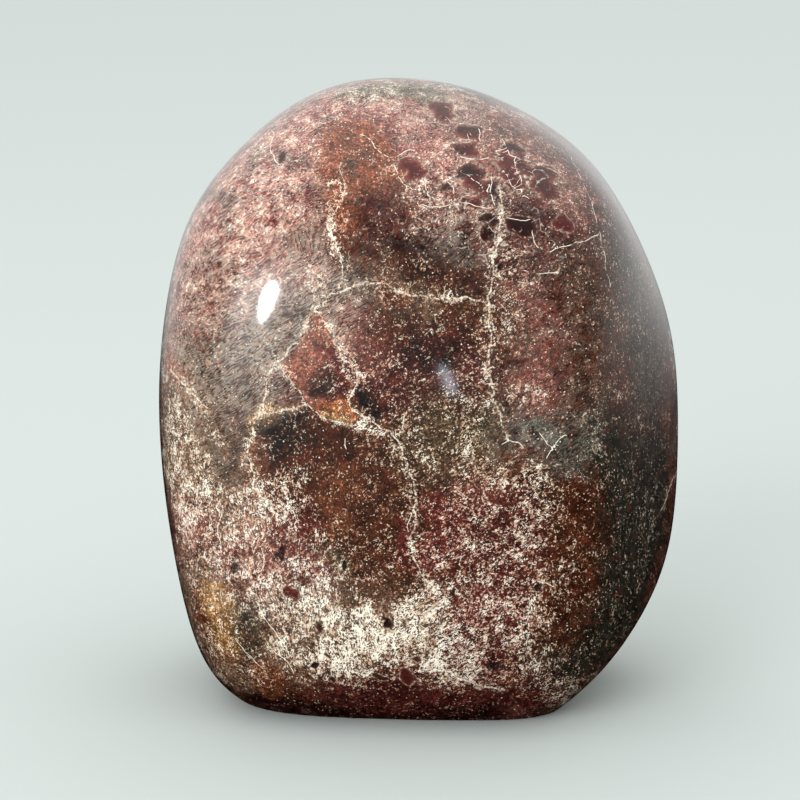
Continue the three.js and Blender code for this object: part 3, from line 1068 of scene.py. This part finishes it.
# %% Sums of sockets
class Value:
    """One output in a net. Adding or multiplying it makes the Math node that does so."""

    def __init__(self, net, socket):
        self.net = net
        self.socket = socket

    def maths(self, operation, *values):
        return self.net.node("ShaderNodeMath", {"operation": operation}, dict(enumerate(values)))

    def __add__(self, other):
        return self.maths("ADD", self, other)

    def __mul__(self, other):
        return self.maths("MULTIPLY", self, other)

    def __sub__(self, other):
        return self.maths("SUBTRACT", self, other)

    def __rsub__(self, other):
        return self.maths("SUBTRACT", other, self)

    def __abs__(self):
        return self.maths("ABSOLUTE", self)

    def most(self, other):
        return self.maths("MAXIMUM", self, other)

    __radd__ = __add__
    __rmul__ = __mul__


class Net:
    """The nodes of a material, or of the world."""

    def __init__(self, owner):
        owner.use_nodes = True
        self.tree = owner.node_tree

    def node(self, kind, settings=None, values=None, output=0):
        """Makes a node with its settings and the values or links of its sockets, and gives one output."""
        made = self.tree.nodes.new(kind)
        for name, setting in (settings or {}).items():
            setattr(made, name, setting)
        for name, value in (values or {}).items():
            self.feed(made.inputs[name], value)
        return Value(self, made.outputs[output])

    def feed(self, socket, value):
        if isinstance(value, Value):
            self.tree.links.new(value.socket, socket)
        else:
            socket.default_value = value


polished_rock = bpy.data.materials.new("polished_garnet_rock")
polish = Net(polished_rock)
print("the finish is", polished_rock.name)

# %% [markdown]
# A few words of shader language come next, each a node or two: noise of a grain size in millimetres, a
# soft step, a mix of two colours, and the amounts that the mesh carries.

# %% The words of the finish
MIX_FIRST, MIX_SECOND, MIX_RESULT = 6, 7, 2  # the colour sockets of a Mix node


def carried(name):
    return polish.node("ShaderNodeAttribute", {"attribute_name": name}, output="Fac")


def step(value, low, high):
    """0 below low and 1 above high, softly, or the other way round if low is the higher."""
    limits = {"Value": value, "From Min": low, "From Max": high}
    return value.net.node("ShaderNodeMapRange", {"interpolation_type": "SMOOTHSTEP"}, limits)


def grain(place, size, detail=2, roughness=0.5):
    """Noise whose lumps are about a size, in the units of the place."""
    values = {"Vector": place, "Scale": 1 / size, "Detail": detail, "Roughness": roughness}
    return polish.node("ShaderNodeTexNoise", {}, values)


def mixed(first, second, share, blend_type="MIX"):
    settings = {"data_type": "RGBA", "blend_type": blend_type}
    values = {0: share, MIX_FIRST: first, MIX_SECOND: second}
    return polish.node("ShaderNodeMix", settings, values, MIX_RESULT)


def shaded(colour, share):
    """A colour made darker or lighter by a number that changes over the stone."""
    grey = polish.node("ShaderNodeCombineColor", {}, {0: share, 1: share, 2: share})
    return mixed(colour, grey, 1, "MULTIPLY")


def paint(name):
    return (*PAINT[name], 1)


def turned(place, azimuth, tilt, stretch):
    """The place, turned and squeezed so that noise on it is drawn out towards a direction."""
    turn = Vector(towards(azimuth, tilt)).to_track_quat("Z", "Y").to_euler()
    values = {"Vector": place, "Rotation": turn, "Scale": (1, 1, stretch)}
    return polish.node("ShaderNodeMapping", {"vector_type": "TEXTURE"}, values)


coordinates = polish.node("ShaderNodeTexCoord", output="Object")
place = polish.node("ShaderNodeVectorMath", {"operation": "SCALE"}, {0: coordinates, "Scale": 1 / MM})
print("the finish counts in millimetres")

# %% [markdown]
# Under the flecks the rock is granular: patches of the carried colour go darker and redder from grain to
# grain, at three sizes. Without this the patches would look airbrushed.

# %% The ground of the rock
BLOTCH, MOTTLE, PEPPER, RED_GRAIN = 3.4, 0.95, 0.38, 2.1  # grain sizes in millimetres
ground_colour = polish.node("ShaderNodeAttribute", {"attribute_name": "ground"}, output="Color")
mottle = grain(place, MOTTLE, 3, 0.6)
pepper = grain(place, PEPPER, 2, 0.6)
depth = 0.34 + 0.46 * step(grain(place, BLOTCH, 3, 0.55), 0.3, 0.72)
depth = depth * (0.5 + 0.75 * step(mottle, 0.36, 0.66))
depth = depth * (0.5 + 1.05 * step(pepper, 0.42, 0.66))
redder = step(grain(place, RED_GRAIN, 3, 0.6), 0.52, 0.72) * 0.35
rock = mixed(shaded(ground_colour, depth), paint("blood"), redder)
print("the ground is granular at", BLOTCH, MOTTLE, "and", PEPPER, "mm")

# %% [markdown]
# The flecks are drawn-out shreds of cream mica and feldspar. Noise on a squeezed place makes shreds, and a
# threshold that follows the carried amount makes them many or few. Two slants are mixed, because the rock
# was sheared one way at the crown and another way at the sides.

# %% Two slants
WAVE, WAVE_REACH = 11, 4  # how long the rock's waves are and how far they bend a shred, in millimetres
SLANT, UPRIGHT = (86, 36), (-20, 82)  # azimuth and tilt that the shreds point to
SHRED_STRETCH, FIBRE_STRETCH = 2.4, 7


def warped(size, reach):
    """The place, stirred by noise of a size as far as reach, so that what is drawn on it curls."""
    stir = polish.node("ShaderNodeTexNoise", {}, {"Vector": place, "Scale": 1 / size, "Detail": 2}, "Color")
    settings = {"operation": "MULTIPLY_ADD"}
    return polish.node("ShaderNodeVectorMath", settings, {0: stir, 1: (reach, reach, reach), 2: place})


wavy = warped(WAVE, WAVE_REACH)
slanting = turned(wavy, *SLANT, SHRED_STRETCH)
standing = turned(wavy, *UPRIGHT, SHRED_STRETCH)
lean = step(carried("upright") + 0.7 * (grain(place, 5) - 0.5), 0.35, 0.65)


def along_both(size):
    """Drawn-out noise that follows the slant of the rock at each place."""
    return grain(slanting, size, 3, 0.6) * (1 - lean) + grain(standing, size, 3, 0.6) * lean


print("shreds are drawn out", SHRED_STRETCH, "times")

# %% [markdown]
# A fleck shows where a thread of the drawn-out noise crosses a piece of finer noise, so it has ragged ends,
# and crumbs fill in between. Slower noise gathers the flecks into clumps and streaks. Painted dots of one
# size would look like spray, because in real rock the flecks thicken, thin out and touch.

# %% The flecks
THREAD, PIECE, CRUMB, STREAK = 0.52, 0.55, 0.32, 1.3  # sizes in millimetres
CLUMP, BROAD_CLUMP = 2.3, 6
threads = abs(along_both(THREAD) - 0.5)
pieces = grain(place, PIECE, 2, 0.6)
clumps = grain(place, CLUMP, 3, 0.6) * 0.5 + grain(place, BROAD_CLUMP) * 0.25 + along_both(STREAK) * 0.25
thickness = carried("flecks") + 2.7 * (clumps - 0.5) + 0.12 * step(carried("vein_near"), 6, 1)
thread_width = 0.04 + 0.055 * thickness
piece_limit = 0.62 - 0.26 * thickness
crumb_limit = 0.76 - 0.24 * thickness
fleck = step(threads, thread_width, thread_width * 0.4) * step(pieces, piece_limit, piece_limit + 0.05)
fleck = fleck.most(step(grain(place, CRUMB, 2, 0.6), crumb_limit, crumb_limit + 0.04))
print("the threads of the flecks are about", THREAD, "mm apart")

# %% [markdown]
# Where the rock is silky, thin pale fibres lie all one way. They are the same noise, drawn out much longer
# and finer, as a film over the ground. The comb is a set of fibres that stand side by side over a few
# millimetres; its grey teeth are partly painted sheen, where fine scratches catch the haze around the
# highlight.

# %% Silk and comb
FIBRE, TOOTH = 0.2, 0.32  # sizes in millimetres
COMB_TOWARDS, COMB_STRETCH = (-90, 80), 24
fibres = grain(turned(wavy, *SLANT, FIBRE_STRETCH), FIBRE, 3, 0.6)
silk = carried("silk") * step(fibres + 0.8 * (clumps - 0.5), 0.4, 0.62)
teeth = grain(turned(warped(6, 1), *COMB_TOWARDS, COMB_STRETCH), TOOTH, 1)
print("the fibres are about", FIBRE, "mm apart")

# %% [markdown]
# Small bright points lie scattered in the dark parts, too far apart for noise to make them crisp. Voronoi
# cells give one point each, and each cell's own random colour decides whether its point is there.

# %% Bright points and dark specks
jostled = warped(0.6, 0.5)


def scattered(size, radius, share):
    """Round points, one to a cell of a size, present in a share of the cells."""
    cells = {"Vector": jostled, "Scale": 1 / size}
    distance = polish.node("ShaderNodeTexVoronoi", {}, cells, "Distance")
    chance = polish.node("ShaderNodeTexVoronoi", {}, cells, "Color")
    chance = polish.node("ShaderNodeSeparateColor", {}, {0: chance})
    return step(distance, radius / size, radius / size * 0.5) * step(chance, 1 - share, 1.02 - share)


sparks = scattered(0.7, 0.15, carried("flecks") * 0.5 + 0.26)
specks = scattered(2.0, 0.46, carried("specks") * 0.4)
specks = specks.most(scattered(1.1, 0.28, carried("specks") * 0.5))
print("sparks and specks are scattered")

# %% [markdown]
# A vein's line is where its signed distance passes through zero, kept only near the route, because the
# sign also flips beyond its ends. A little noise makes it wander, swell and break up into grains. The
# crackle is the edges of small cells, broken by noise into short bits.

# %% The veins
LINE_GRAIN, WIGGLE, CELL = 0.5, 1.3, 3.2  # sizes in millimetres
line_grains = grain(place, LINE_GRAIN, 2, 0.6)
wiggle = (grain(place, WIGGLE, 3, 0.6) - 0.5) * 2.4


def line(side, near, width):
    """A pale line along a carried distance, with ragged edges. All in half widths."""
    thin = abs(carried(side) + wiggle)
    ragged_width = width * (0.45 + 1.1 * line_grains)
    return step(thin, ragged_width, ragged_width * 0.45) * step(carried(near), 4.5, 3.0)


vein_line = line("vein_side", "vein_near", 0.9) * step(line_grains, 0.36, 0.5)
vein_line = vein_line * (0.65 + 0.35 * step(grain(place, 3.5), 0.4, 0.6))
vein_cloud = step(carried("vein_near"), 6, 1) * step(pieces, 0.5, 0.6)
hair_line = line("hair_side", "hair_near", 0.7) * step(grain(place, 2.2), 0.36, 0.5)
cells = {"Vector": warped(2.5, 2), "Scale": 1 / CELL}
web = polish.node("ShaderNodeTexVoronoi", {"feature": "DISTANCE_TO_EDGE"}, cells, "Distance")
web_line = step(web, 0.04, 0.01) * step(grain(place, 1.4), 0.5, 0.62) * carried("crackle") * 0.5
print("veins, hairlines and crackle are drawn")

# %% [markdown]
# The colour is built up as the rock is: the ground, the silk over it, the flecks, the bright points, the
# garnet cells, the dark specks, the veins on top, and last the painted shade in the pits. A fleck is tan
# and takes some of the ground's hue where flecks are few, and goes through bone to cream where they crowd.

# %% The colour of the rock
cream_tone = step(grain(place, 0.9), 0.4, 0.62)
pale = step(thickness + 0.6 * (cream_tone - 0.5), 0.2, 0.7)
whiteness = step(thickness + 0.4 * (cream_tone - 0.5), 0.5, 0.9)
tinted = shaded(ground_colour, 2.4)
pale_colour = mixed(paint("bone"), paint("cream"), whiteness)
fleck_colour = mixed(mixed(paint("tan"), tinted, 0.3), pale_colour, pale)
fleck_colour = mixed(fleck_colour, tinted, 0.1 + 0.16 * step(thickness, 0.95, 0.3))
colour = mixed(rock, mixed(ground_colour, paint("cream"), 0.5), silk * 0.7)
# Partly painted sheen: the comb's grey teeth stand for fine scratches catching the highlight's haze.
colour = mixed(colour, paint("slate"), carried("comb") * step(teeth, 0.46, 0.56) * 0.7)
colour = mixed(colour, paint("maroon"), carried("comb") * step(teeth, 0.46, 0.38) * 0.8)
colour = mixed(colour, fleck_colour, fleck * 0.95)
colour = mixed(colour, mixed(paint("bone"), paint("cream"), cream_tone), sparks * 0.9)
grains = carried("grains")
cell_colour = shaded(ground_colour, 0.15 + 0.9 * step(grains + 0.5 * (mottle - 0.5), 1.3, 0.5))
colour = mixed(colour, cell_colour, step(grains + 0.9 * (pieces - 0.5), 0.3, 0.9) * 0.85)
cell_rim = step(grains, 0.02, 0.25) * step(grains, 0.6, 0.3) * step(pieces, 0.4, 0.55)
colour = mixed(colour, paint("bone"), cell_rim * 0.25)
colour = mixed(colour, paint("soot"), specks * 0.8)
vein_colour = mixed(paint("ochre"), paint("cream"), step(line_grains, 0.32, 0.62))
colour = mixed(colour, vein_colour, vein_cloud * 0.2)
colour = mixed(colour, vein_colour, vein_line * 0.7)
colour = mixed(colour, paint("cream"), hair_line.most(web_line) * 0.8)
pit = carried("pits")
# Painted shade: the pits go dark towards soot, most where they sank deepest.
colour = mixed(colour, paint("soot"), step(pit, 0.1, 0.6) * 0.85)
print("the colour has", len(polish.tree.nodes), "nodes under it")

# %% [markdown]
# The polish is a mirror, but not an even one: mica flecks take less of a shine than garnet, and pits take
# none. The shader's own surface gives the soft haze around a highlight, and a clear coat over it gives
# the sharp highlight, with no coat in the pits. The bump is about a hundredth of a millimetre high,
# because flecks and veins are ground level with the rock.

# %% The polish
EVERYWHERE = {"IOR": 1.5, "Specular IOR Level": 0.3, "Coat IOR": 1.6, "Coat Roughness": 0.045}
BUMP_HEIGHT = 0.02 * MM
shader = polish.tree.nodes["Principled BSDF"].inputs
for name, value in EVERYWHERE.items():
    shader[name].default_value = value
polish.feed(shader["Base Color"], colour)
polish.feed(shader["Roughness"], 0.3 + 0.12 * fleck + 0.1 * (mottle - 0.5) + 0.4 * step(pit, 0.1, 0.5))
polish.feed(shader["Coat Weight"], 1 - step(pit, 0.05, 0.4))
relief = fleck * 0.35 + vein_line * 0.5 + pepper * 0.4
bump = {"Strength": 0.35, "Distance": BUMP_HEIGHT, "Height": relief}
polish.feed(shader["Normal"], polish.node("ShaderNodeBump", {}, bump))
stone_mesh.materials.append(polished_rock)
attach(stone, "root")
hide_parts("stone")
print("the stone is polished")

# %% [markdown]
# The studio is a plain pale floor, wide enough to fill the picture. It is matt and hidden from mirror
# rays, so that the polish doesn't show its far edge.

# %% The floor
FLOOR_RADIUS = 6
FLOOR_COLOUR = (0.52, 0.58, 0.57, 1)
floor_mesh = bpy.data.meshes.new("floor")
disc = bmesh.new()
bmesh.ops.create_circle(disc, cap_ends=True, radius=FLOOR_RADIUS, segments=96)
disc.to_mesh(floor_mesh)
disc.free()
floor = added("floor", floor_mesh)
floor_paint = bpy.data.materials.new("floor_paint")
floor_paint.use_nodes = True
floor_inputs = floor_paint.node_tree.nodes["Principled BSDF"].inputs
floor_inputs["Base Color"].default_value = FLOOR_COLOUR
floor_inputs["Roughness"].default_value = 0.9
floor_mesh.materials.append(floor_paint)
floor.visible_glossy = False
print("the floor is", 2 * FLOOR_RADIUS, "m across")

# %% [markdown]
# A polished stone shows its surroundings, so they are chosen with care. What its mirror sees is a pale
# wall behind and at the sides, a faint ceiling, the glow of a window at the front left, and darkness in
# front, so that the shown face stays deep. What lights it is a soft even fill, with more from above. The
# Light Path node tells the two kinds of ray apart. Big lamps could do the same, but each would be mirrored.

# %% The soft light around
WALL = 0.7
CEILING = 0.3
WINDOW = 3.6
WINDOW_TOWARDS = (-0.37, -0.93, 0.01)
FILL = 0.56
OVERHEAD = 1.0
world = bpy.data.worlds.new("studio")
studio = Net(world)
studio.tree.nodes.clear()
world.cycles.sampling_method = "NONE"  # light this even needs no map of its bright spots
bpy.context.scene.world = world
bearing = studio.node("ShaderNodeTexCoord", output="Generated")
backwards = studio.node("ShaderNodeSeparateXYZ", {}, {0: bearing}, "Y")
upwards = studio.node("ShaderNodeSeparateXYZ", {}, {0: bearing}, "Z")
apart = {0: bearing, 1: WINDOW_TOWARDS}
from_window = studio.node("ShaderNodeVectorMath", {"operation": "DISTANCE"}, apart, "Value")
wall = step(backwards, -0.75, 0.3) * step(upwards, -0.24, -0.06) * WALL
mirrored = wall + step(upwards, 0.4, 0.9) * CEILING + step(from_window, 0.18, 0.02) * WINDOW
filling = step(upwards, 0.1, 0.9) * OVERHEAD + FILL
mirrored_light = {"Color": (0.9, 0.92, 0.91, 1), "Strength": mirrored}
filling_light = {"Color": (1, 0.99, 0.97, 1), "Strength": filling}
choice = {
    0: studio.node("ShaderNodeLightPath", output="Is Glossy Ray"),
    1: studio.node("ShaderNodeBackground", {}, filling_light),
    2: studio.node("ShaderNodeBackground", {}, mirrored_light),
}
around = studio.tree.nodes.new("ShaderNodeOutputWorld")
studio.feed(around.inputs["Surface"], studio.node("ShaderNodeMixShader", {}, choice))
print("the surroundings are pale behind and dim in front")

# %% [markdown]
# A tall softbox at the upper left draws the one bright highlight. Its place follows from the picture: the
# camera's ray at the highlight is mirrored in the stone's surface, and the lamp stands along that line. A
# small cool window makes the second glint in the middle in the same way. A big softbox in front lights
# the shown face. It isn't mirrored, and its light is kept narrow, as by a honeycomb, off the floor.

# %% The lamps
def lamp(name, place, aim, size, power, colour, roll=0):
    """An elliptical area lamp at a place, turned to its aim and rolled about its own axis."""
    light = bpy.data.lights.new(name, "AREA")
    light.shape = "ELLIPSE"
    light.size, light.size_y = size
    light.energy = power
    light.color = colour
    holder = added(name, light)
    holder.location = place
    holder.rotation_euler = (aim - place).to_track_quat("-Z", "Y").to_euler()
    holder.rotation_euler.rotate_axis("Z", math.radians(roll))
    return holder


def mirror_lamp(name, spot, distance, **looks):
    """A lamp placed so that the picture shows its mirror image at a spot."""
    point, normal = touch(spot)
    bounce = ray(spot) - 2 * ray(spot).dot(normal) * normal
    return lamp(name, point + bounce * distance, point, **looks)


HIGHLIGHT, GLINT = (267, 297), (448, 380)
FRONT_SOFTBOX = Vector((-0.95, -1.35, 0.6))
FRONT_SPREAD = 70  # degrees
WARM, WARMER, COOL = (1, 0.98, 0.96), (1, 0.98, 0.95), (0.75, 0.88, 1)
key = mirror_lamp("key_softbox", HIGHLIGHT, 0.7, size=(0.028, 0.066), power=0.25, colour=WARMER)
mirror_lamp("window_glint", GLINT, 0.9, size=(0.008, 0.026), power=0.004, colour=COOL, roll=30)
fill = lamp("front_softbox", FRONT_SOFTBOX, AIM, size=(1.4, 1.4), power=4.2, colour=WARM)
fill.visible_glossy = False
fill.data.spread = math.radians(FRONT_SPREAD)
print("the key stands at", in_mm(key.location))

# %% [markdown]
# The plain Standard tone keeps the deep darks and bright creams of a polished stone, which a filmic
# tone would grey.

# %% Tone
bpy.context.scene.view_settings.view_transform = "Standard"
